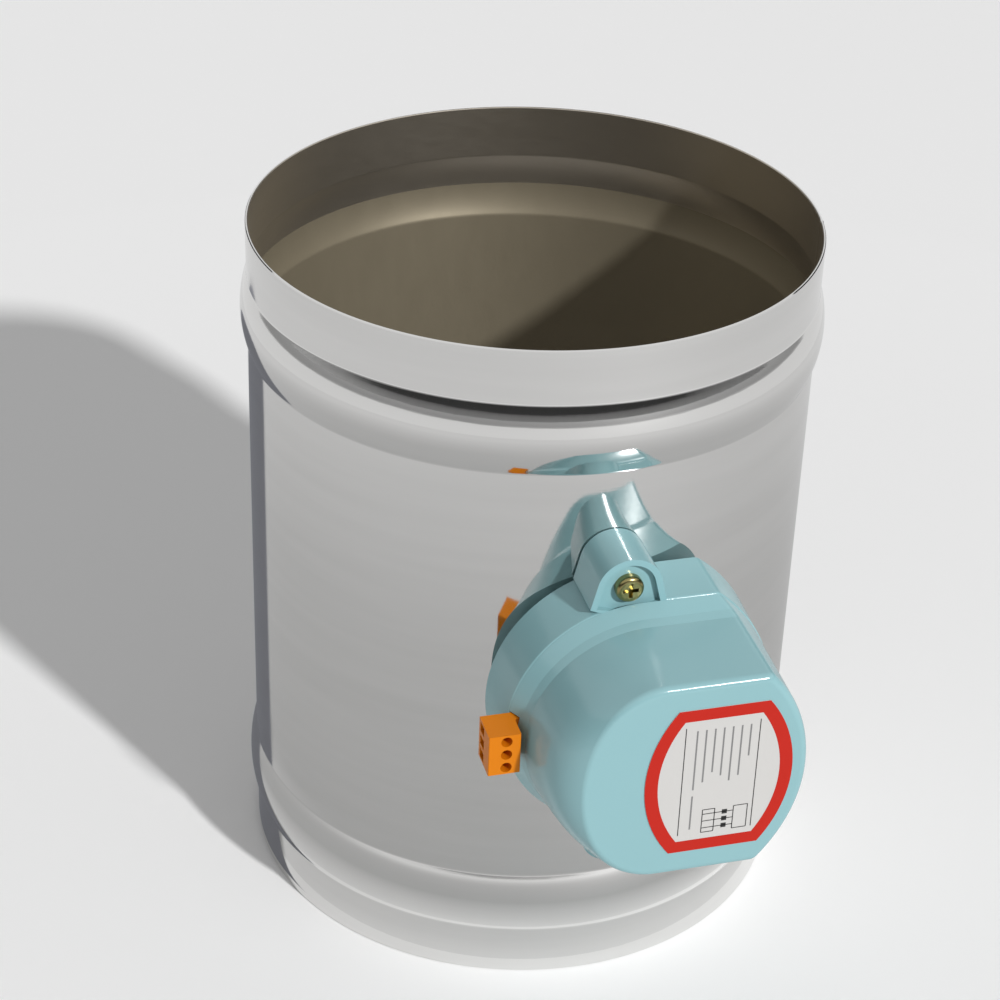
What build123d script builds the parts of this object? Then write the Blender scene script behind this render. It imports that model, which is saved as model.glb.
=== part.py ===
from build123d import *
from math import acos, asin, cos, degrees, pi, radians, sin, sqrt, tan
import os

# Motorized duct damper, standing on its lower rim, in millimetres.
# The duct axis is Z and the shaft runs along Y, with the actuator on the -Y side.
# A depth is measured out along -Y from the duct's tangent plane behind the actuator.
# A spot is a place on that plane: to the right along X, and up from the shaft axis.

# Duct
duct_diameter = 200.0
duct_length = 254.0
duct_wall = 1.0
bead_offset = 32.0
bead_width = 25.0
bead_height = 2.4
bead_blend = 3.0

# Clearances
seat_gap = 0.05
running_clearance = 0.05
thread_clearance = 0.03
part_gap = 0.4

# Shaft, bushes and retaining clip
shaft_diameter = 8.0
bush_diameter = 14.0
bush_flange_diameter = 20.0
bush_flange = 2.0
bush_reach = 4.0
clip_thickness = 0.8
clip_diameter = 14.0
clip_groove = 6.4
clip_mouth_share = 0.8
shaft_tail = 1.6

# Blade
blade_swing = 90.0
blade_thickness = 1.5
seal_gap = 0.5
seal_lip = 1.8
seal_depth = 6.0
seal_thickness = 4.5
notch_gap = 1.0
blade_screw_pitch = 58.0
blade_screw_size = 4.0
blade_screw_bite = 3.2

# Housing outline: round left end, two flats, shallow arc on the right
left_centre = 5.5
front_left_centre = 1.5
right_centre = -3.0
outline_corner = 4.0
base_back_half = 46.2
base_rim_half = 44.4
base_back_right = 57.0
base_rim_right = 56.3
shoulder_half = 40.4
shoulder_right = 55.6
front_half = 37.3
front_right = 54.8
end_softness = 8.0
softness_power = 5
wall_steps = (0.0, 0.3, 0.6, 0.8, 0.92, 1.0)
base_depth = 20.0
shoulder_depth = 27.0
front_depth = 59.0
housing_wall = 2.4
rim_step = 0.3
rim_edge = 0.8
front_edge = 2.5
shoulder_blend = 1.6

# Fixing lugs and their screws
lug_x = 0.9
lug_offset = 5.6
lug_radius = 11.1
lug_foot = 13.0
lug_rim = 2.2
lug_recess = 2.2
mounting_screw_size = 5.0
rivet_nut_diameter = 7.0
rivet_nut_flange = 0.8
rivet_nut_reach = 10.0

# Gear train
gear_module = 1.0
pressure_angle = 20.0
gear_teeth = 32
pinion_teeth = 16
sector_teeth = 13
tooth_height = 0.9
tooth_root = 1.25
tooth_thinning = 0.12
gear_width = 6.0
gear_lift = 1.7
hub_diameter = 14.0
hub_lift = 2.0
spigot_diameter = 10.0
drive_flats = 6.4
cam_diameter = 26.0
lobe_diameter = 6.0
lobe_reach = 15.2

# Gear plate and motor
plate_lift = 2.5
plate_thickness = 1.5
plate_left = -17.5
plate_right = 39.0
plate_half = 35.0
plate_corner = 5.0
plate_pillar = 7.0
plate_screw_size = 3.0
pillar_left = -12.5
pillar_right = 34.0
pillar_z = 30.5
motor_x = 12.0
motor_diameter = 50.0
gearbox_height = 16.0
can_diameter = 48.0
can_height = 20.0
ear_reach = 30.0
ear_width = 11.0
ear_thickness = 1.0
motor_screw_size = 3.0
nose_diameter = 12.0
pinion_shaft_diameter = 6.0
pinion_shaft_hold = 9.0

# Limit switches
switch_length = 20.0
switch_body = 10.0
switch_thickness = 6.4
switch_stand = 17.0
plunger_diameter = 3.0
plunger_gap = 0.3
plunger_hold = 3.0
plunger_travel = 0.8
switch_peg = 2.2
switch_peg_pitch = 9.5
switch_peg_inset = 7.0
switch_pad_margin = 1.0

# Circuit board and terminal block, placed from the left end of the base's rim
board_thickness = 1.6
board_inset = 5.9
board_width = 14.0
board_half = 20.2
board_corner = 6.0
board_post = 4.4
board_post_inset = 4.2
board_post_z = 17.6
board_screw_size = 2.0
capacitor_width = 6.5
capacitor_length = 18.0
capacitor_height = 12.5
capacitor_inset = 10.0
terminal_pitch = 5.08
terminal_poles = 3
terminal_overhang = 9.1
terminal_width = 10.8
terminal_height = 12.2
terminal_screw_inset = 6.0
tongue_overlap = 5.0
tongue_height = 3.5
well_diameter = 3.8
entry_width = 3.4
entry_height = 4.4
entry_floor = 1.6
entry_depth = 9.0
clamp_wall = 0.6
clamp_inset = 2.2
pin_diameter = 1.0
pin_inset = 2.0
pin_below = 2.0

# Cover fixings
cover_post = 6.4
cover_screw_size = 3.0
cover_screw_grip = 12.0
cover_right_x = 46.0
cover_right_z = 14.0
cover_left_x = -20.0
cover_left_z = 24.5

# Label
label_x = 21.4
label_half_height = 28.3
label_half_width = 15.2
label_bulge = 9.8
label_thickness = 0.25

# Screw heads, as shares of the shank
head_share = 1.9
head_height_share = 0.65
head_round_share = 0.45
drive_long_share = 0.55
drive_wide_share = 0.14
drive_deep_share = 0.6

# Places that follow from the sizes above
duct_radius = duct_diameter / 2
bore_radius = duct_radius - duct_wall
axis_height = duct_length / 2
floor_back = part_gap
floor_front = floor_back + housing_wall
gear_back = floor_front + gear_lift
gear_front = gear_back + gear_width
hub_front = gear_front + hub_lift
plate_back = gear_front + plate_lift
plate_front = plate_back + plate_thickness
rim_left = left_centre - base_rim_half
lug_z = base_rim_half + lug_offset
board_left = rim_left + board_inset
board_post_x = board_left + board_post_inset
capacitor_x = board_left + capacitor_inset
pin_x = board_left + pin_inset
terminal_left = rim_left - terminal_overhang
terminal_right = terminal_left + terminal_width
terminal_screw_x = terminal_left + terminal_screw_inset
tongue_right = board_left + tongue_overlap
board_front = base_depth + part_gap
board_back = board_front - board_thickness
switch_back = gear_back + gear_width / 2 - switch_thickness / 2
switch_front = switch_back + switch_thickness
plunger_depth = switch_back + switch_thickness / 2
plunger_tip = lobe_reach + plunger_gap
shaft_front = hub_front
rear_flange = -(duct_diameter + bush_flange)
clip_back = rear_flange - part_gap - clip_thickness
pitch_radius = gear_module * gear_teeth / 2
pinion_pitch_radius = gear_module * pinion_teeth / 2
pinion_x = pitch_radius + pinion_pitch_radius
seal_outer = bore_radius - seal_gap
blade_radius = seal_outer - seal_lip
seal_inner = seal_outer - seal_depth
blade_end = bore_radius - bush_reach - notch_gap
notch_half = bush_diameter / 2 + notch_gap
terminal_half = terminal_pitch * terminal_poles / 2
terminal_front = board_front + terminal_height
tongue_front = board_front + tongue_height
clamp_left = terminal_left + clamp_inset
lug_spots = [(lug_x, lug_z), (lug_x, -lug_z)]
pillar_spots = [(x, z) for x in (pillar_left, pillar_right) for z in (-pillar_z, pillar_z)]
board_spots = [(board_post_x, -board_post_z), (board_post_x, board_post_z)]
ear_spots = [(motor_x, -ear_reach), (motor_x, ear_reach)]
cover_spots = [
    (cover_right_x, -cover_right_z),
    (cover_right_x, cover_right_z),
    (cover_left_x, -cover_left_z),
    (cover_left_x, cover_left_z),
]
pole_heights = [(pole - (terminal_poles - 1) / 2) * terminal_pitch for pole in range(terminal_poles)]
closed_angle = 180 - blade_swing / 2
open_angle = 180 + blade_swing / 2


def face_plane(depth):
    """Plane square to the shaft at a depth, its local x to the right and its local y up."""
    return Plane(origin=(0, -(duct_radius + depth), axis_height), x_dir=(1, 0, 0), z_dir=(0, -1, 0))


def polar(radius, angle):
    """Spot at a radius from the shaft axis and an angle in degrees from the right."""
    return (radius * cos(radians(angle)), radius * sin(radians(angle)))


def post(diameter, start, end, spot=(0, 0)):
    """Round bar along the shaft direction between two depths."""
    return extrude(face_plane(start) * Pos(*spot) * Circle(diameter / 2), amount=end - start)


def slab(width, height, start, end, spot=(0, 0), turn=0):
    """Rectangular bar along the shaft direction between two depths."""
    outline = Pos(*spot) * Rot(0, 0, turn) * Rectangle(width, height)
    return extrude(face_plane(start) * outline, amount=end - start)


def together(solids):
    """Separate solids of one kind, kept in one group."""
    return Compound(children=[piece for solid in solids for piece in solid.solids()])


def duct_cylinder(radius):
    """Solid round bar on the duct axis, longer than the duct."""
    return Pos(0, 0, axis_height) * Cylinder(radius, duct_length * 2)


def pan_screw(size, length):
    """Cross-head screw along local Z, its head seated at zero and its shank below."""
    head_height = size * head_height_share
    head = extrude(Circle(size * head_share / 2), amount=head_height)
    head = fillet(head.edges().sort_by(Axis.Z)[-1], head_height * head_round_share)
    arm = size * head_share * drive_long_share
    width = size * head_share * drive_wide_share
    cross = Pos(0, 0, head_height) * (Rectangle(arm, width) + Rectangle(width, arm))
    head -= extrude(cross, amount=-head_height * drive_deep_share)
    return head + extrude(Circle(size / 2), amount=-length)


def screw_from_front(size, seat, tip, spot):
    """Screw with its head towards the front, seated at one depth and ending at another."""
    return face_plane(seat) * Pos(*spot) * pan_screw(size, seat - tip)


def screw_from_back(size, seat, tip, spot):
    """Screw with its head towards the duct."""
    return face_plane(seat) * Pos(*spot) * Rot(180, 0, 0) * pan_screw(size, tip - seat)


def tapped(size, start, end, spot):
    """Cutter for a hole that a screw bites into."""
    return post(size + 2 * thread_clearance, start, end, spot)


def passing(size, start, end, spot):
    """Cutter for a hole that a screw passes through freely."""
    return post(size + part_gap, start, end, spot)


def wall_line(radius, half_width):
    """One side of the duct wall from end to end, with a bead near each end."""
    edges = []
    start = 0.0
    for centre in (bead_offset, duct_length - bead_offset):
        foot = (radius, centre - half_width)
        head = (radius, centre + half_width)
        edges.append(Line((radius, start), foot))
        edges.append(ThreePointArc(foot, (radius + bead_height, centre), head))
        start = centre + half_width
    edges.append(Line((radius, start), (radius, duct_length)))
    return edges


def make_duct_body():
    """Rolled sheet duct of even thickness with its beads, shaft holes and fixing holes."""
    bead_radius = (bead_width ** 2 / 4 + bead_height ** 2) / (2 * bead_height)
    inner_half = sqrt(2 * (bead_radius - duct_wall) * bead_height - bead_height ** 2)
    edges = wall_line(duct_radius, bead_width / 2) + wall_line(bore_radius, inner_half)
    edges.append(Line((bore_radius, 0), (duct_radius, 0)))
    edges.append(Line((bore_radius, duct_length), (duct_radius, duct_length)))
    profile = make_face(edges)
    middle = (duct_radius + bore_radius) / 2
    bends = [v for v in profile.vertices() if v.X > middle and bead_blend < v.Y < duct_length - bead_blend]
    profile = fillet(bends, bead_blend)
    bends = [v for v in profile.vertices() if v.X < middle and bead_blend < v.Y < duct_length - bead_blend]
    profile = fillet(bends, bead_blend + duct_wall)
    duct = revolve(Plane.XZ * profile, axis=Axis.Z)
    duct -= post(bush_diameter + 2 * seat_gap, -duct_diameter * 2, duct_diameter)
    for spot in lug_spots:
        duct -= post(rivet_nut_diameter + 2 * seat_gap, -duct_radius / 2, duct_radius / 2, spot)
    return duct


def make_bush():
    """Flanged shaft bush in the front wall, its flange cut to sit on the round duct."""
    inner_end = -(duct_wall + bush_reach)
    bush = post(bush_flange_diameter, inner_end, bush_flange) - duct_cylinder(duct_radius + seat_gap)
    bush += post(bush_diameter, inner_end, bush_flange)
    return bush - post(shaft_diameter + 2 * running_clearance, inner_end, bush_flange)


def make_rivet_nuts():
    """Blind nuts in the duct wall behind the two lugs."""
    nuts = []
    inner_end = -(duct_wall + rivet_nut_reach)
    for spot in lug_spots:
        flange = post(mounting_screw_size * head_share, inner_end, rivet_nut_flange, spot)
        nut = flange - duct_cylinder(duct_radius + seat_gap)
        nut += post(rivet_nut_diameter, inner_end, rivet_nut_flange, spot)
        nuts.append(nut - tapped(mounting_screw_size, inner_end, rivet_nut_flange, spot))
    return together(nuts)


def make_shaft():
    """Blade shaft: half round under the blade, two flats in front, clip groove behind."""
    shaft_rear = clip_back - shaft_tail
    shaft = post(shaft_diameter, shaft_rear, shaft_front)
    flat_half = blade_end + notch_gap / 2
    over = (0, shaft_diameter / 2)
    shaft -= slab(shaft_diameter * 2, shaft_diameter, -duct_radius - flat_half, flat_half - duct_radius, over)
    for side in (-1, 1):
        beside = (side * (drive_flats + shaft_diameter) / 2, 0)
        shaft -= slab(shaft_diameter, shaft_diameter * 2, floor_front, shaft_front, beside)
    groove_front = clip_back + clip_thickness + seat_gap
    groove = post(shaft_diameter * 2, clip_back - seat_gap, groove_front)
    shaft -= groove - post(clip_groove, clip_back - seat_gap, groove_front)
    hole = Cylinder(blade_screw_size / 2 + thread_clearance, shaft_diameter * 2)
    for y in (-blade_screw_pitch, 0, blade_screw_pitch):
        shaft -= Pos(0, y, axis_height) * hole
    return shaft


def make_shaft_clip():
    """Open retaining ring in the groove at the shaft's far end."""
    clip_front = clip_back + clip_thickness
    ring = post(clip_diameter, clip_back, clip_front)
    ring -= post(clip_groove + 2 * seat_gap, clip_back, clip_front)
    mouth = slab(clip_groove * clip_mouth_share, clip_diameter, clip_back, clip_front, (0, clip_diameter / 2))
    return ring - mouth


def make_blade():
    """Closing disc on the shaft's flat, notched round both bushes."""
    disc = Circle(blade_radius)
    for side in (-1, 1):
        disc -= Pos(0, side * (blade_end + blade_radius / 2)) * Rectangle(2 * notch_half, blade_radius)
    for y in (-blade_screw_pitch, 0, blade_screw_pitch):
        disc -= Pos(0, y) * Circle((blade_screw_size + part_gap) / 2)
    return extrude(Pos(0, 0, axis_height) * disc, amount=blade_thickness)


def make_blade_seals():
    """Two rubber edge strips, each slotted over half of the blade's rim."""
    section = Rectangle(seal_depth, seal_thickness, align=(Align.MAX, Align.CENTER))
    slot_width = blade_thickness + 2 * seat_gap
    slot_depth = seal_depth - seal_lip + seat_gap
    slot = Rectangle(slot_depth, slot_width, align=(Align.MIN, Align.CENTER))
    section -= Pos(-seal_depth, 0) * slot
    end_angle = degrees(asin((notch_half + notch_gap) / seal_inner))
    strips = []
    for side in (0, 180):
        place = Plane.XZ * Pos(seal_outer, axis_height + blade_thickness / 2) * section
        start = Rot(0, 0, side - 90 + end_angle) * place
        strips.append(revolve(start, axis=Axis.Z, revolution_arc=180 - 2 * end_angle))
    return together(strips)


def make_blade_screws():
    """Screws down through the blade into the shaft."""
    length = blade_thickness + blade_screw_bite
    top = axis_height + blade_thickness
    screw = pan_screw(blade_screw_size, length)
    return together([Pos(0, y, top) * screw for y in (-blade_screw_pitch, 0, blade_screw_pitch)])


def housing_section(depth, half_height, left, end_reach, right_radius):
    """Outline of the housing at a depth, with a half ellipse for its left end."""
    corner_x = right_centre + sqrt(right_radius ** 2 - half_height ** 2)
    edges = [
        EllipticalCenterArc((left, 0), end_reach, half_height, 90, arc_size=180),
        Line((left, -half_height), (corner_x, -half_height)),
        ThreePointArc((corner_x, -half_height), (right_centre + right_radius, 0), (corner_x, half_height)),
        Line((corner_x, half_height), (left, half_height)),
    ]
    face = make_face(edges)
    return face_plane(depth) * fillet(face.vertices().group_by(Axis.X)[-1], outline_corner)


def base_section(depth, inset):
    """Outline of the base at a depth, moved in by an inset."""
    share = depth / base_depth
    half = base_back_half + (base_rim_half - base_back_half) * share - inset
    right = base_back_right + (base_rim_right - base_back_right) * share - inset
    return housing_section(depth, half, left_centre, half, right)


def cover_section(depth, inset):
    """Outline of the cover's main wall at a depth, its left end softened towards the front."""
    share = (depth - shoulder_depth) / (front_depth - shoulder_depth)
    half = shoulder_half + (front_half - shoulder_half) * share - inset
    right = shoulder_right + (front_right - shoulder_right) * share - inset
    left = left_centre + (front_left_centre - left_centre) * share ** softness_power
    end_reach = half + left - left_centre - end_softness * share ** softness_power
    return housing_section(depth, half, left, end_reach, right)


def switch_slab(angle, near, far, length, start, end):
    """Bar that stands across a line from the shaft axis, between two radii."""
    spot = polar((near + far) / 2, angle)
    return slab(far - near, length, start, end, spot, angle)


def switch_pegs(angle, diameter, start, end):
    """Two pegs, or their holes, through a limit switch."""
    middle = polar(switch_stand + switch_peg_inset, angle)
    pegs = []
    for side in (-1, 1):
        across = polar(side * switch_peg_pitch / 2, angle + 90)
        pegs.append(post(diameter, start, end, (middle[0] + across[0], middle[1] + across[1])))
    return pegs


def lug_outline(inset):
    """Arched outline of the upper lug, straight down to its foot."""
    arch = Pos(lug_x, lug_z) * Circle(lug_radius - inset)
    foot_z = base_rim_half - rim_edge
    foot = Line((lug_x - lug_foot + inset, foot_z), (lug_x + lug_foot - inset, foot_z))
    return make_hull(arch.edges() + [foot])


def both_lugs(outline, start, end):
    """Bars on the upper lug's outline and on its mirror image below."""
    upper = extrude(face_plane(start) * outline, amount=end - start)
    return [upper, mirror(upper, Plane((0, 0, axis_height)))]


def make_base():
    """Actuator base: skirt, floor, lugs and the posts that carry the inside."""
    base = loft([base_section(floor_back, 0), base_section(base_depth, 0)], ruled=True)
    base = fillet(base.faces().sort_by(Axis.Y)[0].edges(), rim_edge)
    base += both_lugs(lug_outline(0), floor_back, base_depth)
    cavity = [base_section(depth, housing_wall) for depth in (floor_front, base_depth)]
    base -= loft(cavity, ruled=True)
    base -= both_lugs(lug_outline(lug_rim), base_depth - lug_recess, base_depth)
    nut_room = mounting_screw_size * head_share + 2 * part_gap
    for spot in lug_spots:
        base -= passing(mounting_screw_size, floor_back, base_depth, spot)
        base -= post(nut_room, floor_back, rivet_nut_flange + part_gap, spot)
    for spot in pillar_spots:
        base += post(plate_pillar, floor_back, plate_back, spot)
        base -= tapped(plate_screw_size, floor_front, plate_back, spot)
    for spot in board_spots:
        base += post(board_post, floor_back, board_back, spot)
        base -= tapped(board_screw_size, floor_front, board_back, spot)
    for spot in cover_spots:
        base += post(cover_post, floor_back, base_depth, spot)
        base -= passing(cover_screw_size, floor_back, base_depth, spot)
        head_room = cover_screw_size * head_share + part_gap
        base -= post(head_room, floor_back, floor_front, spot)
    for angle in (closed_angle, open_angle):
        near = switch_stand + switch_pad_margin
        far = switch_stand + switch_body - switch_pad_margin
        base += switch_slab(angle, near, far, switch_length - 2 * switch_pad_margin, floor_back, switch_back)
        base += switch_pegs(angle, switch_peg, floor_back, switch_front)
    return base - post(bush_flange_diameter + 2 * part_gap, floor_back, floor_front)


def shoulder_section(depth, inset):
    """Outline of the cover's sloping shoulder at a depth."""
    share = (depth - base_depth) / (shoulder_depth - base_depth)
    rim_half = base_rim_half - rim_step
    rim_right = base_rim_right - rim_step
    half = rim_half + (shoulder_half - rim_half) * share - inset
    right = rim_right + (shoulder_right - rim_right) * share - inset
    return housing_section(depth, half, left_centre, half, right)


def cover_form(inset, front):
    """Solid form of the cover, moved in by an inset: shoulder, blended crease and main wall."""
    crease_back = shoulder_depth - shoulder_blend
    crease_front = shoulder_depth + shoulder_blend
    shoulder = [
        shoulder_section(base_depth, inset),
        shoulder_section(crease_back, inset),
        cover_section(crease_front, inset),
    ]
    wall = [crease_front + (front - crease_front) * step for step in wall_steps]
    return loft(shoulder, ruled=True) + loft([cover_section(depth, inset) for depth in wall])


def make_cover():
    """Actuator cover: sloping shoulder, tapered wall and soft left end, hollow inside."""
    outer = cover_form(0, front_depth)
    outer = fillet(outer.faces().sort_by(Axis.Y)[0].edges(), front_edge)
    cavity = cover_form(housing_wall, front_depth - housing_wall)
    cover = outer - cavity
    for spot in cover_spots:
        grip_end = base_depth + cover_screw_grip
        cover += post(cover_post, base_depth, grip_end + housing_wall, spot)
        cover -= tapped(cover_screw_size, base_depth, grip_end, spot)
    for right, front in ((terminal_right, terminal_front), (tongue_right, tongue_front)):
        cover -= terminal_bar(right + part_gap, terminal_half + part_gap, base_depth, front + part_gap)
    return cover


def make_mounting_screws():
    """Screws through the lugs into the blind nuts."""
    seat = base_depth - lug_recess
    tip = -(duct_wall + rivet_nut_reach)
    return together([screw_from_front(mounting_screw_size, seat, tip, spot) for spot in lug_spots])


def make_cover_screws():
    """Screws from the back of the base into the cover."""
    tip = base_depth + cover_screw_grip
    return together([screw_from_back(cover_screw_size, floor_front, tip, spot) for spot in cover_spots])


def tooth_half_angle(radius, teeth):
    """Half of a tooth's angle at a radius, from the involute of its base circle."""
    pitch = gear_module * teeth / 2
    base = pitch * cos(radians(pressure_angle))
    at_pitch = tan(radians(pressure_angle)) - radians(pressure_angle)
    at_radius = tan(acos(base / radius)) - acos(base / radius)
    return degrees(pi / (2 * teeth) - tooth_thinning / pitch + at_pitch - at_radius)


def tooth_edges(teeth, angle):
    """Flanks and tip of one tooth, and the root arc up to the next tooth."""
    pitch = gear_module * teeth / 2
    root = pitch - gear_module * tooth_root
    base = pitch * cos(radians(pressure_angle))
    tip = pitch + gear_module * tooth_height
    middle = (base + tip) / 2
    at_base = tooth_half_angle(base, teeth)
    at_middle = tooth_half_angle(middle, teeth)
    at_tip = tooth_half_angle(tip, teeth)
    step = 360 / teeth
    return [
        Line(polar(root, angle - at_base), polar(base, angle - at_base)),
        ThreePointArc(
            polar(base, angle - at_base), polar(middle, angle - at_middle), polar(tip, angle - at_tip)
        ),
        ThreePointArc(polar(tip, angle - at_tip), polar(tip, angle), polar(tip, angle + at_tip)),
        ThreePointArc(
            polar(tip, angle + at_tip), polar(middle, angle + at_middle), polar(base, angle + at_base)
        ),
        Line(polar(base, angle + at_base), polar(root, angle + at_base)),
        ThreePointArc(
            polar(root, angle + at_base), polar(root, angle + step / 2), polar(root, angle + step - at_base)
        ),
    ]


def make_output_gear():
    """Toothed sector with a cam lobe opposite, and a hub on the shaft's flats."""
    step = 360 / gear_teeth
    first = -blade_swing / 2 - (sector_teeth - 1) / 2 * step
    edges = []
    for tooth in range(sector_teeth):
        edges += tooth_edges(gear_teeth, first + tooth * step)
    edges.append(Line(edges[-1] @ 1, (0, 0)))
    edges.append(Line((0, 0), edges[0] @ 0))
    outline = make_face(edges) + Circle(cam_diameter / 2)
    outline += Pos(*polar(lobe_reach - lobe_diameter / 2, closed_angle)) * Circle(lobe_diameter / 2)
    gear = extrude(face_plane(gear_back) * outline, amount=gear_width)
    gear += post(hub_diameter, gear_front, hub_front)
    gear += post(spigot_diameter, hub_front, plate_front - part_gap)
    bore = Circle(shaft_diameter / 2 + seat_gap) & Rectangle(drive_flats + 2 * seat_gap, shaft_diameter * 2)
    return gear - extrude(face_plane(gear_back) * bore, amount=shaft_front + seat_gap - gear_back)


def make_motor_pinion():
    """Small gear cut on the motor's output shaft, meshed with the sector."""
    offset = (-blade_swing / 2 + (sector_teeth - 1) / 2 * 360 / gear_teeth) % (360 / gear_teeth)
    phase = 180 - offset * gear_teeth / pinion_teeth + 180 / pinion_teeth
    edges = []
    for tooth in range(pinion_teeth):
        edges += tooth_edges(pinion_teeth, phase + tooth * 360 / pinion_teeth)
    outline = Pos(pinion_x, 0) * make_face(edges)
    pinion = extrude(face_plane(gear_back) * outline, amount=gear_width)
    return pinion + post(pinion_shaft_diameter, gear_front, plate_front + pinion_shaft_hold, (pinion_x, 0))


def make_gear_plate():
    """Steel plate on the pillars, drilled for the hub, the motor nose and the screws."""
    middle = ((plate_left + plate_right) / 2, 0)
    outline = RectangleRounded(plate_right - plate_left, 2 * plate_half, plate_corner)
    plate = extrude(face_plane(plate_back) * Pos(*middle) * outline, amount=plate_thickness)
    plate -= post(spigot_diameter + 2 * running_clearance, plate_back, plate_front)
    plate -= post(nose_diameter + 2 * seat_gap, plate_back, plate_front, (pinion_x, 0))
    for spot in pillar_spots:
        plate -= passing(plate_screw_size, plate_back, plate_front, spot)
    for spot in ear_spots:
        plate -= tapped(motor_screw_size, plate_back, plate_front, spot)
    for spot in cover_spots:
        plate -= post(cover_post + 2 * part_gap, plate_back, plate_front, spot)
    return plate


def make_gear_motor():
    """Motor can on its gearbox, with a fixing ear each side and an off-centre nose."""
    centre = (motor_x, 0)
    gearbox_front = plate_front + gearbox_height
    motor = post(motor_diameter, plate_front, gearbox_front, centre)
    motor += post(can_diameter, gearbox_front, gearbox_front + can_height, centre)
    ear = SlotCenterToCenter(2 * ear_reach, ear_width, rotation=90)
    motor += extrude(face_plane(plate_front) * Pos(*centre) * ear, amount=ear_thickness)
    for spot in ear_spots:
        motor -= passing(motor_screw_size, plate_front, plate_front + ear_thickness, spot)
    motor += post(nose_diameter, plate_back, plate_front, (pinion_x, 0))
    bore_front = plate_front + pinion_shaft_hold + part_gap
    bore = post(pinion_shaft_diameter + 2 * running_clearance, plate_back, bore_front, (pinion_x, 0))
    return motor - bore


def make_plate_screws():
    """Screws through the plate into the pillars."""
    tip = floor_front + part_gap
    return together([screw_from_front(plate_screw_size, plate_front, tip, spot) for spot in pillar_spots])


def make_motor_screws():
    """Screws through the motor's ears into the plate."""
    seat = plate_front + ear_thickness
    return together([screw_from_front(motor_screw_size, seat, plate_back, spot) for spot in ear_spots])


def make_switch(angle):
    """Limit switch body on its pegs, with a bore for its button."""
    far = switch_stand + switch_body
    body = switch_slab(angle, switch_stand, far, switch_length, switch_back, switch_front)
    for hole in switch_pegs(angle, switch_peg + 2 * seat_gap, switch_back, switch_front):
        body -= hole
    return body - plunger_bar(angle, plunger_diameter + 2 * running_clearance, plunger_travel + part_gap)


def plunger_bar(angle, diameter, extra):
    """Round bar along a line from the shaft axis, from the button's tip to its inner end."""
    tip = polar(plunger_tip, angle)
    outward = polar(1, angle)
    plane = Plane(
        origin=(tip[0], -(duct_radius + plunger_depth), axis_height + tip[1]),
        z_dir=(outward[0], 0, outward[1]),
    )
    return extrude(plane * Circle(diameter / 2), amount=switch_stand + plunger_hold - plunger_tip + extra)


def make_circuit_board():
    """Board on its two posts, drilled for its screws and the terminal pins."""
    middle = (board_left + board_width / 2, 0)
    outline = RectangleRounded(board_width, 2 * board_half, board_corner)
    board = extrude(face_plane(board_back) * Pos(*middle) * outline, amount=board_thickness)
    for spot in board_spots:
        board -= passing(board_screw_size, board_back, board_front, spot)
    for height in pole_heights:
        board -= post(pin_diameter + 2 * seat_gap, board_back, board_front, (pin_x, height))
    return board


def make_board_screws():
    """Screws of the circuit board."""
    tip = floor_front + part_gap
    return together([screw_from_front(board_screw_size, board_front, tip, spot) for spot in board_spots])


def make_capacitor():
    """Box capacitor with softened edges, standing on the board."""
    top = board_front + capacitor_height
    box = slab(capacitor_width, capacitor_length, board_front, top, (capacitor_x, 0))
    return fillet(box.edges().filter_by(Axis.Y), part_gap)


def clamp_range():
    """Depths between which the wire clamps stand."""
    return (board_front + entry_floor, board_front + entry_floor + entry_height)


def terminal_bar(right, half_height, start, end):
    """Bar from the terminal block's left face to a place on its right, between two depths."""
    middle = ((terminal_left + right) / 2, 0)
    return slab(right - terminal_left, 2 * half_height, start, end, middle)


def make_terminal_block():
    """Terminal body on a tongue, with screw wells in front and wire entries on its left face."""
    low, high = clamp_range()
    body = terminal_bar(terminal_right, terminal_half, board_front, terminal_front)
    body += terminal_bar(tongue_right, terminal_half, board_front, tongue_front)
    body = fillet(body.edges().filter_by(Axis.Z).sort_by(Axis.Y)[:2], part_gap)
    for height in pole_heights:
        entry_middle = (terminal_left + entry_depth / 2, height)
        body -= slab(entry_depth, entry_width, low, high, entry_middle)
        body -= post(well_diameter, high, terminal_front, (terminal_screw_x, height))
        body -= post(pin_diameter + 2 * seat_gap, board_front, low, (pin_x, height))
        groove_middle = ((terminal_left + entry_depth + pin_x) / 2, height)
        groove_length = pin_x + pin_diameter - terminal_left - entry_depth
        groove_front = low + clamp_wall + seat_gap
        body -= slab(groove_length, pin_diameter + 2 * seat_gap, low, groove_front, groove_middle)
    return body


def make_wire_clamps():
    """Metal clamp of each pole: open cage, strip and pin through the board."""
    low, high = clamp_range()
    clamps = []
    back = terminal_left + entry_depth - seat_gap
    for height in pole_heights:
        middle = ((clamp_left + back) / 2, height)
        width = entry_width - 2 * seat_gap
        cage = slab(back - clamp_left, width, low, high - seat_gap, middle)
        inner = width - 2 * clamp_wall
        cage -= slab(back - clamp_left, inner, low + clamp_wall, high - seat_gap - clamp_wall, middle)
        cage -= tapped(terminal_screw_size(), high - clamp_wall * 2, high, (terminal_screw_x, height))
        strip_length = pin_x + pin_diameter / 2 - back
        strip_middle = (back + strip_length / 2, height)
        cage += slab(strip_length, pin_diameter, low, low + clamp_wall, strip_middle)
        cage += post(pin_diameter, board_back - pin_below, low + clamp_wall, (pin_x, height))
        clamps.append(cage)
    return together(clamps)


def terminal_screw_size():
    """Shank of a terminal screw whose head fits its well."""
    return (well_diameter - part_gap) / head_share


def make_terminal_screws():
    """Clamp screws down in the wells."""
    low, high = clamp_range()
    tip = low + entry_height / 2
    size = terminal_screw_size()
    return together([screw_from_front(size, high, tip, (terminal_screw_x, z)) for z in pole_heights])


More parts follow.
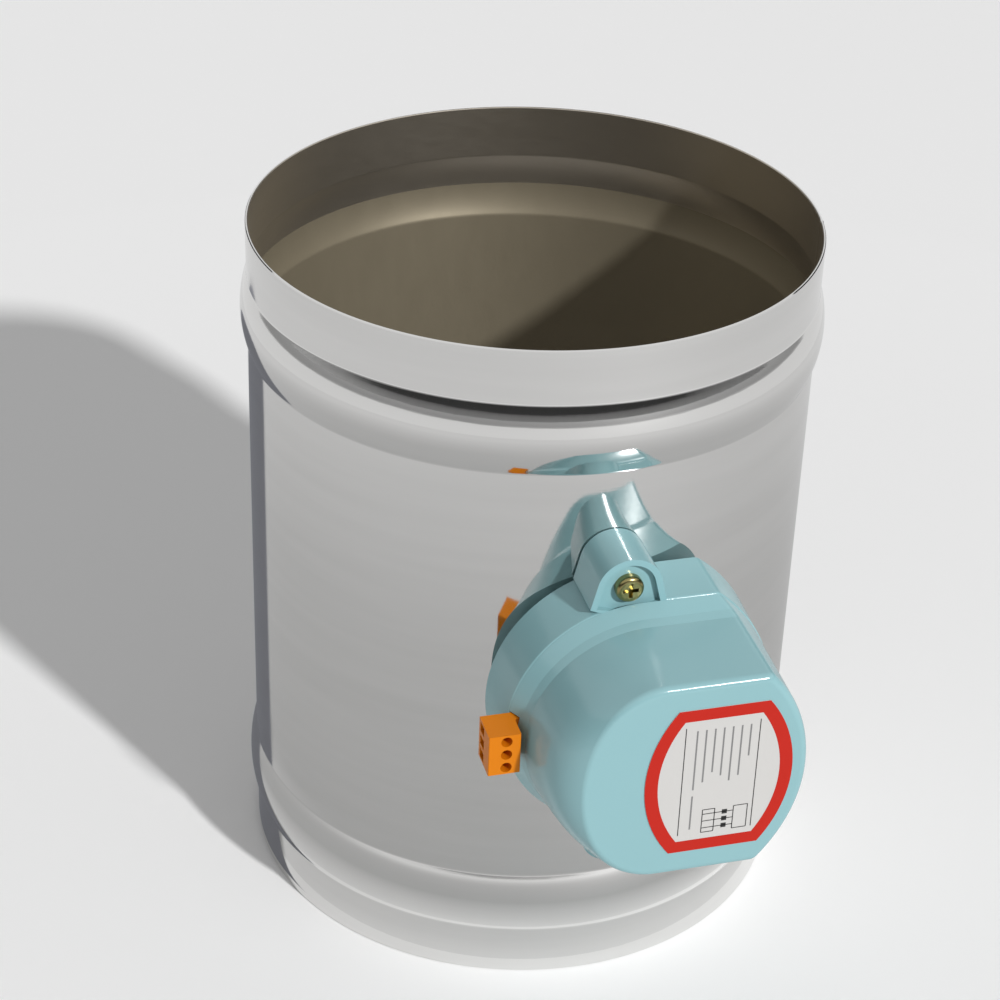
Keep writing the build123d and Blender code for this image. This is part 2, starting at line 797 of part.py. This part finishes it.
def make_label():
    """Thin plate on the cover, with straight ends and bowed sides."""
    right = (label_half_width + label_bulge, 0)
    left = (-label_half_width - label_bulge, 0)
    edges = [
        Line((-label_half_width, label_half_height), (label_half_width, label_half_height)),
        ThreePointArc((label_half_width, label_half_height), right, (label_half_width, -label_half_height)),
        Line((label_half_width, -label_half_height), (-label_half_width, -label_half_height)),
        ThreePointArc((-label_half_width, -label_half_height), left, (-label_half_width, label_half_height)),
    ]
    outline = Pos(label_x, 0) * make_face(edges)
    return extrude(face_plane(front_depth) * outline, amount=label_thickness)


front_bush = make_bush()
nodes = {
    "duct_body": make_duct_body(),
    "front_bush": front_bush,
    "rear_bush": Rot(0, 0, 180) * front_bush,
    "rivet_nuts": make_rivet_nuts(),
    "blade_shaft": make_shaft(),
    "shaft_clip": make_shaft_clip(),
    "blade_disc": make_blade(),
    "blade_seals": make_blade_seals(),
    "blade_screws": make_blade_screws(),
    "actuator_base": make_base(),
    "actuator_cover": make_cover(),
    "mounting_screws": make_mounting_screws(),
    "cover_screws": make_cover_screws(),
    "output_gear": make_output_gear(),
    "motor_pinion": make_motor_pinion(),
    "gear_plate": make_gear_plate(),
    "gear_motor": make_gear_motor(),
    "plate_screws": make_plate_screws(),
    "motor_screws": make_motor_screws(),
    "closed_switch": make_switch(closed_angle),
    "open_switch": make_switch(open_angle),
    "closed_plunger": plunger_bar(closed_angle, plunger_diameter, 0),
    "open_plunger": plunger_bar(open_angle, plunger_diameter, 0),
    "circuit_board": make_circuit_board(),
    "board_screws": make_board_screws(),
    "run_capacitor": make_capacitor(),
    "terminal_block": make_terminal_block(),
    "wire_clamps": make_wire_clamps(),
    "terminal_screws": make_terminal_screws(),
    "rating_label": make_label(),
}

os.makedirs("parts", exist_ok=True)
for name, shape in nodes.items():
    export_step(shape, f"parts/{name}.step")
    print(name, len(shape.solids()), round(shape.volume, 1))
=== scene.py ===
import math

import bpy
from mathutils import Matrix, Vector


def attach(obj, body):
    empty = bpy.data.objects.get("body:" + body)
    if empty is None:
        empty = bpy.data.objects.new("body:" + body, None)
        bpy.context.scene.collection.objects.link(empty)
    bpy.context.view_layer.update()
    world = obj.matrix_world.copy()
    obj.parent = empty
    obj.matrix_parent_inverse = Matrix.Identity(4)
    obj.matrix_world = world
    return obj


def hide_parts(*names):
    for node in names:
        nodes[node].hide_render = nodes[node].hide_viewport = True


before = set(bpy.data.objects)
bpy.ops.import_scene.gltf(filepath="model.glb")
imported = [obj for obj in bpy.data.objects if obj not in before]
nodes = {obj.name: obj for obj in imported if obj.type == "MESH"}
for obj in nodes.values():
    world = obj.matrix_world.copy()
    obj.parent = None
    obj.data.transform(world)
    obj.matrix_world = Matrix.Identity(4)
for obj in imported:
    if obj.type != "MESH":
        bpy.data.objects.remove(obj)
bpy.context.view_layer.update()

# Motorized duct damper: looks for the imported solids, in metres, in the part's own frame.
ROOT = "duct_and_actuator"

# Duct sizes, as in the solids
DUCT_RADIUS = 0.100
DUCT_LENGTH = 0.254
DUCT_WALL = 0.001
BEAD_OFFSET = 0.032
BEAD_WIDTH = 0.025
BEAD_HEIGHT = 0.0024
BEAD_BLEND = 0.003
RIM_ROUND = 0.0003

# Holes in the duct for the shaft's bushes and the rivet nuts, as in the solids
AXIS_HEIGHT = 0.127
BUSH_HOLE = 0.00705
NUT_HOLE = 0.00355
NUT_X = 0.0009
NUT_OFFSET = 0.050

# Dressed weld seam of the duct, which the solids leave out
SEAM_ANGLE = math.radians(347)
SEAM_WIDTH = 0.0012
SEAM_HEIGHT = 0.00018

# Fineness of the duct's mesh
DUCT_SEGMENTS = 288
SEAM_STEPS = 10
SEAM_STEP_DEGREES = 0.25
BLEND_STEPS = 6
CROWN_STEPS = 24
HOLE_SEGMENTS = 48
DRILL_SHARE = 1.1
SHARP_ANGLE = math.radians(40)
STRAIGHT_SHARE = 0.995

# Label sizes, as in the solids
LABEL_X = 0.0214
LABEL_FACE = -0.15925
LABEL_HALF_HEIGHT = 0.0283
LABEL_HALF_WIDTH = 0.0152
LABEL_BULGE = 0.0098

# Print on the label: border, rules, plain lines (x, top, foot) and a wiring sketch without letters
LABEL_BORDER = 0.0044
PRINT_LIFT = 0.00003
RULE_HALF = 0.00016
RULE_X = 0.0125
RULE_REACH = 0.0215
LINE_HALF = 0.00028
LINE_COLUMNS = [
    (0.0094, 0.0200, 0.0075),
    (0.0064, 0.0200, 0.0002),
    (0.0034, 0.0200, -0.0015),
    (0.0004, 0.0200, 0.0010),
    (-0.0026, 0.0200, 0.0028),
    (-0.0056, 0.0200, -0.0008),
    (-0.0086, 0.0200, -0.0035),
    (-0.0086, -0.0060, -0.0195),
]
WIRE_HEIGHTS = (-0.0140, -0.0168, -0.0196)
WIRE_BOXES = [(0.0060, 0.0108), (-0.0046, -0.0004)]
WIRE_BOX_ENDS = (-0.0214, -0.0122)
CONTACT_X = 0.0030
CONTACT_HALF = 0.0009

# Noise of the materials
BROAD_DETAIL = 5
FINE_DETAIL = 3
FINE_RATIO = 12
RELIEF_DEPTH = 0.0002

# Stage: floor, light, and the rings and the painted shadow patch that only mirrors show; tones are (share
# of the way, grey)
FLOOR_SIZE = 12
KEY_FROM = (0.43, -0.90, 0.61)
KEY_STRENGTH = 2.7
KEY_ANGLE = math.radians(3)
FILL_LIGHT = 0.40
BACKDROP_LIGHT = 0.85
FLAG_RADIUS = 2.4
FLAG_FOOT = 0.10
FLAG_TOP = 1.2
FLAG_TONES = [(0.0, 0.36), (0.08, 0.26), (0.13, 0.05), (1.0, 0.04)]
CARPET_INNER = 1.3
CARPET_OUTER = 4.8
CARPET_LIFT = 0.002
CARPET_TONES = [(0.0, 0.60), (0.05, 0.36), (1.0, 0.34)]
CARD_INNER = 0.105
CARD_OUTER = 0.60
CARD_LIFT = 0.001
CARD_TONES = [(0.0, 0.80), (0.09, 0.54), (0.38, 0.61), (0.82, 0.84)]
TONE_ROUGHNESS = 0.8
SHADE_LIFT = 0.003
RING_SEGMENTS = 96
ARC_STEPS = 24

# Camera of the photograph, fitted to the duct's rims and beads
CAMERA_PLACE = (-0.2228, -0.7425, 0.6074)
CAMERA_YAW = math.radians(16.055)
CAMERA_PITCH = math.radians(31.13)
CAMERA_ROLL = math.radians(2.07)
CAMERA_LENS = 88.24
CAMERA_SENSOR = 36


def material(name, color, other, metallic, rough, scale, bump, stretch=(1, 1, 1), shine=0.5):
    """A shader whose colour, roughness and surface vary with fine noise over the object."""
    mat = bpy.data.materials.new(name)
    mat.use_nodes = True
    tree = mat.node_tree
    shader = tree.nodes["Principled BSDF"]
    shader.inputs["Metallic"].default_value = metallic
    shader.inputs["Specular IOR Level"].default_value = shine
    coord = tree.nodes.new("ShaderNodeTexCoord")
    place = tree.nodes.new("ShaderNodeMapping")
    place.inputs["Scale"].default_value = stretch
    tree.links.new(coord.outputs["Object"], place.inputs["Vector"])
    broad = tree.nodes.new("ShaderNodeTexNoise")
    broad.inputs["Scale"].default_value = scale
    broad.inputs["Detail"].default_value = BROAD_DETAIL
    tree.links.new(place.outputs["Vector"], broad.inputs["Vector"])
    fine = tree.nodes.new("ShaderNodeTexNoise")
    fine.inputs["Scale"].default_value = scale * FINE_RATIO
    fine.inputs["Detail"].default_value = FINE_DETAIL
    tree.links.new(place.outputs["Vector"], fine.inputs["Vector"])
    mix = tree.nodes.new("ShaderNodeMix")
    mix.data_type = "RGBA"
    mix.inputs["A"].default_value = (*color, 1)
    mix.inputs["B"].default_value = (*other, 1)
    tree.links.new(broad.outputs["Fac"], mix.inputs["Factor"])
    tree.links.new(mix.outputs["Result"], shader.inputs["Base Color"])
    span = tree.nodes.new("ShaderNodeMapRange")
    span.inputs["To Min"].default_value = rough[0]
    span.inputs["To Max"].default_value = rough[1]
    tree.links.new(fine.outputs["Fac"], span.inputs["Value"])
    tree.links.new(span.outputs["Result"], shader.inputs["Roughness"])
    relief = tree.nodes.new("ShaderNodeBump")
    relief.inputs["Strength"].default_value = bump
    relief.inputs["Distance"].default_value = RELIEF_DEPTH
    tree.links.new(fine.outputs["Fac"], relief.inputs["Height"])
    tree.links.new(relief.outputs["Normal"], shader.inputs["Normal"])
    return mat


def set_material(mat, *names):
    """Gives CAD nodes a material."""
    for name in names:
        slots = nodes[name].data.materials
        slots.clear()
        slots.append(mat)


def mesh_piece(name, vertices, faces):
    """A new visible piece that rides on the body of the duct and the actuator."""
    mesh = bpy.data.meshes.new(name)
    mesh.from_pydata(vertices, [], faces)
    mesh.validate()
    mesh.update()
    piece = bpy.data.objects.new(name, mesh)
    bpy.context.scene.collection.objects.link(piece)
    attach(piece, ROOT)
    return piece


def ring_faces(count):
    """Faces between two closed rows of points that follow one another in a list."""
    return [(i, (i + 1) % count, count + (i + 1) % count, count + i) for i in range(count)]


def bead_offsets(radius_change):
    """Points (height, outward step) of one bead, blended into a wall that is moved out by a change."""
    bead_radius = (BEAD_WIDTH ** 2 / 4 + BEAD_HEIGHT ** 2) / (2 * BEAD_HEIGHT)
    blend = BEAD_BLEND - radius_change
    crown = bead_radius + radius_change
    reach = math.sqrt((bead_radius + BEAD_BLEND) ** 2 - (bead_radius + BEAD_BLEND - BEAD_HEIGHT) ** 2)
    slope = math.atan2(reach, bead_radius + BEAD_BLEND - BEAD_HEIGHT)
    points = []
    for step in range(BLEND_STEPS + 1):
        angle = slope * step / BLEND_STEPS
        points.append((-reach + blend * math.sin(angle), blend * (1 - math.cos(angle))))
    for step in range(1, CROWN_STEPS):
        angle = slope - 2 * slope * step / CROWN_STEPS
        points.append((-crown * math.sin(angle), BEAD_HEIGHT - crown * (1 - math.cos(angle))))
    for step in range(BLEND_STEPS + 1):
        angle = slope * (BLEND_STEPS - step) / BLEND_STEPS
        points.append((reach - blend * math.sin(angle), blend * (1 - math.cos(angle))))
    return points


def wall_points(radius, radius_change):
    """Points (radius, height) of one face of the duct wall, from its lower to its upper end."""
    points = [(radius, RIM_ROUND)]
    for centre in (BEAD_OFFSET, DUCT_LENGTH - BEAD_OFFSET):
        points += [(radius + out, centre + along) for along, out in bead_offsets(radius_change)]
    points.append((radius, DUCT_LENGTH - RIM_ROUND))
    return points


def drill_bar(radius, x, z, start, end):
    """Round bar along Y, as a cutter."""
    bpy.ops.mesh.primitive_cylinder_add(
        radius=radius,
        depth=abs(end - start),
        vertices=HOLE_SEGMENTS,
        location=(x, (start + end) / 2, z),
        rotation=(math.pi / 2, 0, 0),
    )
    return bpy.context.object


def drill(piece, bars):
    """Cuts the bars out of a piece and keeps its straight walls smooth."""
    for bar in bars:
        cut = piece.modifiers.new("drill", "BOOLEAN")
        cut.operation = "DIFFERENCE"
        cut.solver = "EXACT"
        cut.object = bar
    graph = bpy.context.evaluated_depsgraph_get()
    mesh = bpy.data.meshes.new_from_object(piece.evaluated_get(graph))
    piece.modifiers.clear()
    piece.data = mesh
    for bar in bars:
        bpy.data.objects.remove(bar)
    mesh.set_sharp_from_angle(angle=SHARP_ANGLE)
    normals = [corner.vector.copy() for corner in mesh.corner_normals]
    for polygon in mesh.polygons:
        outward = Vector((polygon.center.x, polygon.center.y, 0)).normalized()
        facing = polygon.normal.dot(outward)
        if abs(facing) < STRAIGHT_SHARE or abs(polygon.normal.z) > 1 - STRAIGHT_SHARE:
            continue
        for loop in polygon.loop_indices:
            spot = mesh.vertices[mesh.loops[loop].vertex_index].co
            radial = Vector((spot.x, spot.y, 0)).normalized()
            if abs(normals[loop].z) < 1 - STRAIGHT_SHARE:
                normals[loop] = radial if facing > 0 else -radial
    mesh.normals_split_custom_set(normals)


def build_duct(outside_steel, inside_steel, neck_steel):
    """Smooth duct shell with rounded rims, holes and a dressed weld seam."""
    inner_radius = DUCT_RADIUS - DUCT_WALL
    outer = wall_points(DUCT_RADIUS, 0)
    inner = wall_points(inner_radius, -DUCT_WALL)[::-1]
    top = [(DUCT_RADIUS - RIM_ROUND, DUCT_LENGTH), (inner_radius + RIM_ROUND, DUCT_LENGTH)]
    bottom = [(inner_radius + RIM_ROUND, 0), (DUCT_RADIUS - RIM_ROUND, 0)]
    profile = outer + top + inner + bottom
    angles = [math.tau * step / DUCT_SEGMENTS for step in range(DUCT_SEGMENTS)]
    for step in range(-SEAM_STEPS, SEAM_STEPS + 1):
        angles.append(SEAM_ANGLE + math.radians(step * SEAM_STEP_DEGREES))
    angles = sorted(set(angles))
    vertices = []
    for angle in angles:
        away = (angle - SEAM_ANGLE) * DUCT_RADIUS
        swell = SEAM_HEIGHT * math.exp(-(away / SEAM_WIDTH) ** 2)
        for radius, height in profile:
            swollen = radius + (swell if radius > DUCT_RADIUS - DUCT_WALL / 2 else -swell)
            vertices.append((swollen * math.cos(angle), swollen * math.sin(angle), height))
    count = len(profile)
    faces = []
    inside = []
    for turn in range(len(angles)):
        here = turn * count
        there = (turn + 1) % len(angles) * count
        for point in range(count):
            after = (point + 1) % count
            faces.append((here + point, there + point, there + after, here + after))
            inside.append(len(outer) + 1 <= point < len(outer) + 1 + len(inner))
    duct = mesh_piece("duct_shell", vertices, faces)
    for mat in (outside_steel, inside_steel, neck_steel):
        duct.data.materials.append(mat)
    for polygon, is_inside in zip(duct.data.polygons, inside):
        neck = abs(polygon.center.z - DUCT_LENGTH / 2) > DUCT_LENGTH / 2 - BEAD_OFFSET
        polygon.material_index = (2 if neck else 1) if is_inside else 0
    duct.data.shade_smooth()
    reach = DUCT_RADIUS * DRILL_SHARE
    bars = [drill_bar(BUSH_HOLE, 0, AXIS_HEIGHT, -reach, reach)]
    for side in (-1, 1):
        bars.append(drill_bar(NUT_HOLE, NUT_X, AXIS_HEIGHT + side * NUT_OFFSET, -reach, -reach / 2))
    drill(duct, bars)
    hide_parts("duct_body")


def label_outline(inset):
    """Points of the label's outline, moved in by an inset and lifted off the label."""
    half_height = LABEL_HALF_HEIGHT - inset
    radius = (LABEL_HALF_HEIGHT ** 2 + LABEL_BULGE ** 2) / (2 * LABEL_BULGE) - inset
    centre = LABEL_HALF_WIDTH + LABEL_BULGE - radius - inset
    turn = math.asin(half_height / radius)
    right = []
    for step in range(ARC_STEPS + 1):
        angle = -turn + 2 * turn * step / ARC_STEPS
        right.append((centre + radius * math.cos(angle), radius * math.sin(angle)))
    points = right + [(-x, -z) for x, z in right]
    return [(LABEL_X + x, LABEL_FACE - PRINT_LIFT, AXIS_HEIGHT + z) for x, z in points]


def label_rules():
    """Rules on the label (x, z, half width, half height): two long rules and a wiring sketch."""
    rules = [(side * RULE_X, 0, RULE_HALF, RULE_REACH) for side in (-1, 1)]
    low, high = WIRE_BOX_ENDS
    for left, right in WIRE_BOXES:
        for x in (left, right):
            rules.append((x, (low + high) / 2, RULE_HALF, (high - low) / 2))
        for z in (low, high):
            rules.append(((left + right) / 2, z, (right - left) / 2, RULE_HALF))
    start, end = WIRE_BOXES[1][0], WIRE_BOXES[0][0]
    for z in WIRE_HEIGHTS:
        rules.append(((start + end) / 2, z, (end - start) / 2, RULE_HALF))
        rules.append((CONTACT_X, z, CONTACT_HALF, CONTACT_HALF))
    return rules


def label_lines():
    """Plain grey lines on the label, where small print would stand."""
    return [(x, (top + foot) / 2, LINE_HALF, (top - foot) / 2) for x, top, foot in LINE_COLUMNS]


def build_rules(name, rules):
    """Flat rectangles printed on the label."""
    vertices = []
    faces = []
    for x, z, half_width, half_height in rules:
        first = len(vertices)
        for across, up in ((-1, -1), (1, -1), (1, 1), (-1, 1)):
            spot_x = LABEL_X + x + across * half_width
            spot_z = AXIS_HEIGHT + z + up * half_height
            vertices.append((spot_x, LABEL_FACE - PRINT_LIFT, spot_z))
        faces.append((first, first + 1, first + 2, first + 3))
    return mesh_piece(name, vertices, faces)


def build_label_border():
    """Border round the label."""
    outer = label_outline(0)
    inner = label_outline(LABEL_BORDER)
    return mesh_piece("label_border", outer + inner, ring_faces(len(outer)))


def tone_material(name, inner, outer, tones):
    """Grey tones that change with the distance from the frame's origin."""
    mat = bpy.data.materials.new(name)
    mat.use_nodes = True
    tree = mat.node_tree
    coord = tree.nodes.new("ShaderNodeTexCoord")
    reach = tree.nodes.new("ShaderNodeVectorMath")
    reach.operation = "LENGTH"
    tree.links.new(coord.outputs["Object"], reach.inputs[0])
    span = tree.nodes.new("ShaderNodeMapRange")
    span.inputs["From Min"].default_value = inner
    span.inputs["From Max"].default_value = outer
    tree.links.new(reach.outputs["Value"], span.inputs["Value"])
    ramp = tree.nodes.new("ShaderNodeValToRGB")
    stops = ramp.color_ramp.elements
    while len(stops) < len(tones):
        stops.new(0.5)
    for stop, (place, tone) in zip(stops, tones):
        stop.position = place
        stop.color = (tone, tone, tone, 1)
    tree.links.new(span.outputs["Result"], ramp.inputs["Fac"])
    shader = tree.nodes["Principled BSDF"]
    shader.inputs["Roughness"].default_value = TONE_ROUGHNESS
    tree.links.new(ramp.outputs["Color"], shader.inputs["Base Color"])
    return mat


def stage_piece(name, vertices, faces, mat):
    """Piece of the stage that only mirrors show."""
    mesh = bpy.data.meshes.new(name)
    mesh.from_pydata(vertices, [], faces)
    mesh.materials.append(mat)
    piece = bpy.data.objects.new(name, mesh)
    bpy.context.scene.collection.objects.link(piece)
    piece.visible_camera = False
    piece.visible_shadow = False
    piece.visible_diffuse = False


def stage_ring(name, inner, outer, tones):
    """Ring on the stage between two circles (radius, height), graded in grey from one to the other."""
    vertices = []
    for radius, height in (inner, outer):
        for step in range(RING_SEGMENTS):
            angle = math.tau * step / RING_SEGMENTS
            vertices.append((radius * math.cos(angle), radius * math.sin(angle), height))
    mat = tone_material(name, math.hypot(*inner), math.hypot(*outer), tones)
    stage_piece(name, vertices, ring_faces(RING_SEGMENTS), mat)


def shade_outline():
    """Outline on the floor of the shadow that the duct casts away from the key light."""
    away = Vector((-KEY_FROM[0], -KEY_FROM[1]))
    length = DUCT_LENGTH * away.length / KEY_FROM[2]
    heading = math.atan2(away.y, away.x)
    points = []
    for middle, turn in ((0, math.pi / 2), (length, -math.pi / 2)):
        for step in range(ARC_STEPS + 1):
            angle = heading + turn + math.pi * step / ARC_STEPS
            x = middle * math.cos(heading) + DUCT_RADIUS * math.cos(angle)
            y = middle * math.sin(heading) + DUCT_RADIUS * math.sin(angle)
            points.append((x, y, SHADE_LIFT))
    return points


def build_floor():
    """Pale floor, and what the polished steel mirrors: rings in place of the photograph's surroundings,
    and a patch of painted shadow.
    """
    bpy.ops.mesh.primitive_plane_add(size=FLOOR_SIZE)
    floor = bpy.context.object
    floor.name = "floor"
    pale = material("floor", (0.94, 0.94, 0.94), (0.93, 0.93, 0.93), 0, (0.7, 0.8), 3, 0.0)
    floor.data.materials.append(pale)
    stage_ring("flags", (FLAG_RADIUS, FLAG_FOOT), (FLAG_RADIUS, FLAG_TOP), FLAG_TONES)
    stage_ring("carpet", (CARPET_INNER, CARPET_LIFT), (CARPET_OUTER, CARPET_LIFT), CARPET_TONES)
    stage_ring("card", (CARD_INNER, CARD_LIFT), (CARD_OUTER, CARD_LIFT), CARD_TONES)
    # Painted shadow: a dark bluish patch in the shape of the duct's cast shadow, shown only in mirrors,
    # darker than the real shadow on the floor.
    shade = material("shade", (0.40, 0.41, 0.46), (0.44, 0.45, 0.50), 0, (0.8, 0.9), 4, 0.0)
    outline = shade_outline()
    stage_piece("shade", outline, [tuple(range(len(outline)))], shade)


def build_lights():
    """Key light, and a white world that is brighter as a background than as a fill light."""
    key = bpy.data.lights.new("key", "SUN")
    key.energy = KEY_STRENGTH
    key.angle = KEY_ANGLE
    key_object = bpy.data.objects.new("key", key)
    key_object.rotation_euler = Vector(KEY_FROM).to_track_quat("Z", "Y").to_euler()
    bpy.context.scene.collection.objects.link(key_object)
    world = bpy.data.worlds.new("world")
    bpy.context.scene.world = world
    world.use_nodes = True
    tree = world.node_tree
    light = tree.nodes["Background"]
    light.inputs["Color"].default_value = (1, 1, 1, 1)
    path = tree.nodes.new("ShaderNodeLightPath")
    total = path.outputs["Is Camera Ray"]
    for kind in ("Is Glossy Ray", "Is Transmission Ray"):
        add = tree.nodes.new("ShaderNodeMath")
        add.operation = "ADD"
        tree.links.new(total, add.inputs[0])
        tree.links.new(path.outputs[kind], add.inputs[1])
        total = add.outputs["Value"]
    span = tree.nodes.new("ShaderNodeMapRange")
    span.inputs["To Min"].default_value = FILL_LIGHT
    span.inputs["To Max"].default_value = BACKDROP_LIGHT
    tree.links.new(total, span.inputs["Value"])
    tree.links.new(span.outputs["Result"], light.inputs["Strength"])


def build_camera():
    """Camera at the photograph's place, turned, tipped and rolled as it was."""
    level = math.cos(CAMERA_PITCH)
    forward = Vector((math.sin(CAMERA_YAW) * level, math.cos(CAMERA_YAW) * level, -math.sin(CAMERA_PITCH)))
    right = Vector((math.cos(CAMERA_YAW), -math.sin(CAMERA_YAW), 0))
    up = right.cross(forward)
    rolled_right = right * math.cos(CAMERA_ROLL) + up * math.sin(CAMERA_ROLL)
    rolled_up = up * math.cos(CAMERA_ROLL) - right * math.sin(CAMERA_ROLL)
    turn = Matrix((rolled_right, rolled_up, -forward)).transposed().to_4x4()
    lens = bpy.data.cameras.new("camera")
    lens.lens = CAMERA_LENS
    lens.sensor_width = CAMERA_SENSOR
    camera = bpy.data.objects.new("camera", lens)
    camera.matrix_world = Matrix.Translation(CAMERA_PLACE) @ turn
    bpy.context.scene.collection.objects.link(camera)
    bpy.context.scene.camera = camera


# Metals: name, two colours, metallic, roughness from and to, noise scale, relief, stretch of the noise
polished = material(
    "polished_steel", (0.77, 0.765, 0.755), (0.68, 0.675, 0.665), 1, (0.03, 0.09), 9, 0.015, (1, 1, 16))
dull = material(
    "dull_steel", (0.28, 0.243, 0.172), (0.225, 0.194, 0.137), 0.5, (0.44, 0.56), 14, 0.25, (1, 1, 0.35))
burnished = material(
    "burnished_steel", (0.46, 0.42, 0.36), (0.38, 0.345, 0.29), 0.9, (0.30, 0.40), 14, 0.15, (1, 1, 4))
yellow_zinc = material("yellow_zinc", (0.36, 0.30, 0.13), (0.26, 0.23, 0.10), 1, (0.18, 0.30), 90, 0.1)
bright_zinc = material("bright_zinc", (0.60, 0.62, 0.64), (0.52, 0.54, 0.57), 1, (0.22, 0.34), 90, 0.1)
satin = material("satin_steel", (0.50, 0.49, 0.47), (0.42, 0.41, 0.40), 1, (0.30, 0.42), 30, 0.15)
bright_steel = material(
    "bright_steel", (0.56, 0.55, 0.53), (0.48, 0.47, 0.46), 1, (0.18, 0.26), 60, 0.1, (1, 12, 1))

# Plastics and rubber
turquoise = material(
    "housing_plastic", (0.262, 0.462, 0.492), (0.243, 0.438, 0.468), 0, (0.15, 0.21), 20, 0.04)
orange = material(
    "terminal_plastic", (0.70, 0.205, 0.004), (0.645, 0.185, 0.004), 0, (0.28, 0.36), 60, 0.06, shine=0.15)
nylon = material("nylon", (0.75, 0.73, 0.66), (0.70, 0.68, 0.60), 0, (0.4, 0.5), 50, 0.1)
black = material("black_plastic", (0.015, 0.015, 0.017), (0.025, 0.025, 0.027), 0, (0.4, 0.5), 60, 0.1)
red_button = material("red_button", (0.50, 0.02, 0.015), (0.42, 0.02, 0.015), 0, (0.3, 0.4), 60, 0.1)
green = material("board", (0.01, 0.12, 0.04), (0.015, 0.16, 0.06), 0, (0.3, 0.4), 80, 0.1)
amber = material("capacitor", (0.62, 0.36, 0.02), (0.56, 0.32, 0.02), 0, (0.25, 0.35), 60, 0.1)
rubber = material("rubber", (0.02, 0.02, 0.02), (0.03, 0.03, 0.03), 0, (0.6, 0.8), 60, 0.3)

# Label and its print
film = material("label_film", (0.57, 0.56, 0.545), (0.54, 0.53, 0.515), 0, (0.35, 0.45), 40, 0.05)
print_red = material(
    "label_red", (0.50, 0.022, 0.013), (0.46, 0.020, 0.012), 0, (0.40, 0.50), 60, 0.05, shine=0.10)
print_black = material("label_black", (0.02, 0.02, 0.02), (0.03, 0.03, 0.03), 0, (0.4, 0.5), 60, 0.05)
print_grey = material("label_grey", (0.22, 0.22, 0.22), (0.18, 0.18, 0.18), 0, (0.4, 0.5), 60, 0.05)

set_material(nylon, "front_bush", "rear_bush", "output_gear")
set_material(bright_zinc, "rivet_nuts", "blade_screws", "cover_screws")
set_material(bright_zinc, "plate_screws", "motor_screws", "board_screws")
set_material(bright_steel, "blade_shaft", "shaft_clip", "motor_pinion", "wire_clamps", "terminal_screws")
set_material(satin, "blade_disc", "gear_plate", "gear_motor")
set_material(rubber, "blade_seals")
set_material(turquoise, "actuator_base", "actuator_cover")
set_material(yellow_zinc, "mounting_screws")
set_material(black, "closed_switch", "open_switch")
set_material(red_button, "closed_plunger", "open_plunger")
set_material(green, "circuit_board")
set_material(amber, "run_capacitor")
set_material(orange, "terminal_block")
set_material(film, "rating_label")

build_duct(polished, dull, burnished)
build_label_border().data.materials.append(print_red)
build_rules("label_rules", label_rules()).data.materials.append(print_black)
build_rules("label_lines", label_lines()).data.materials.append(print_grey)
build_floor()
build_lights()
build_camera()
bpy.context.scene.view_settings.view_transform = "Standard"
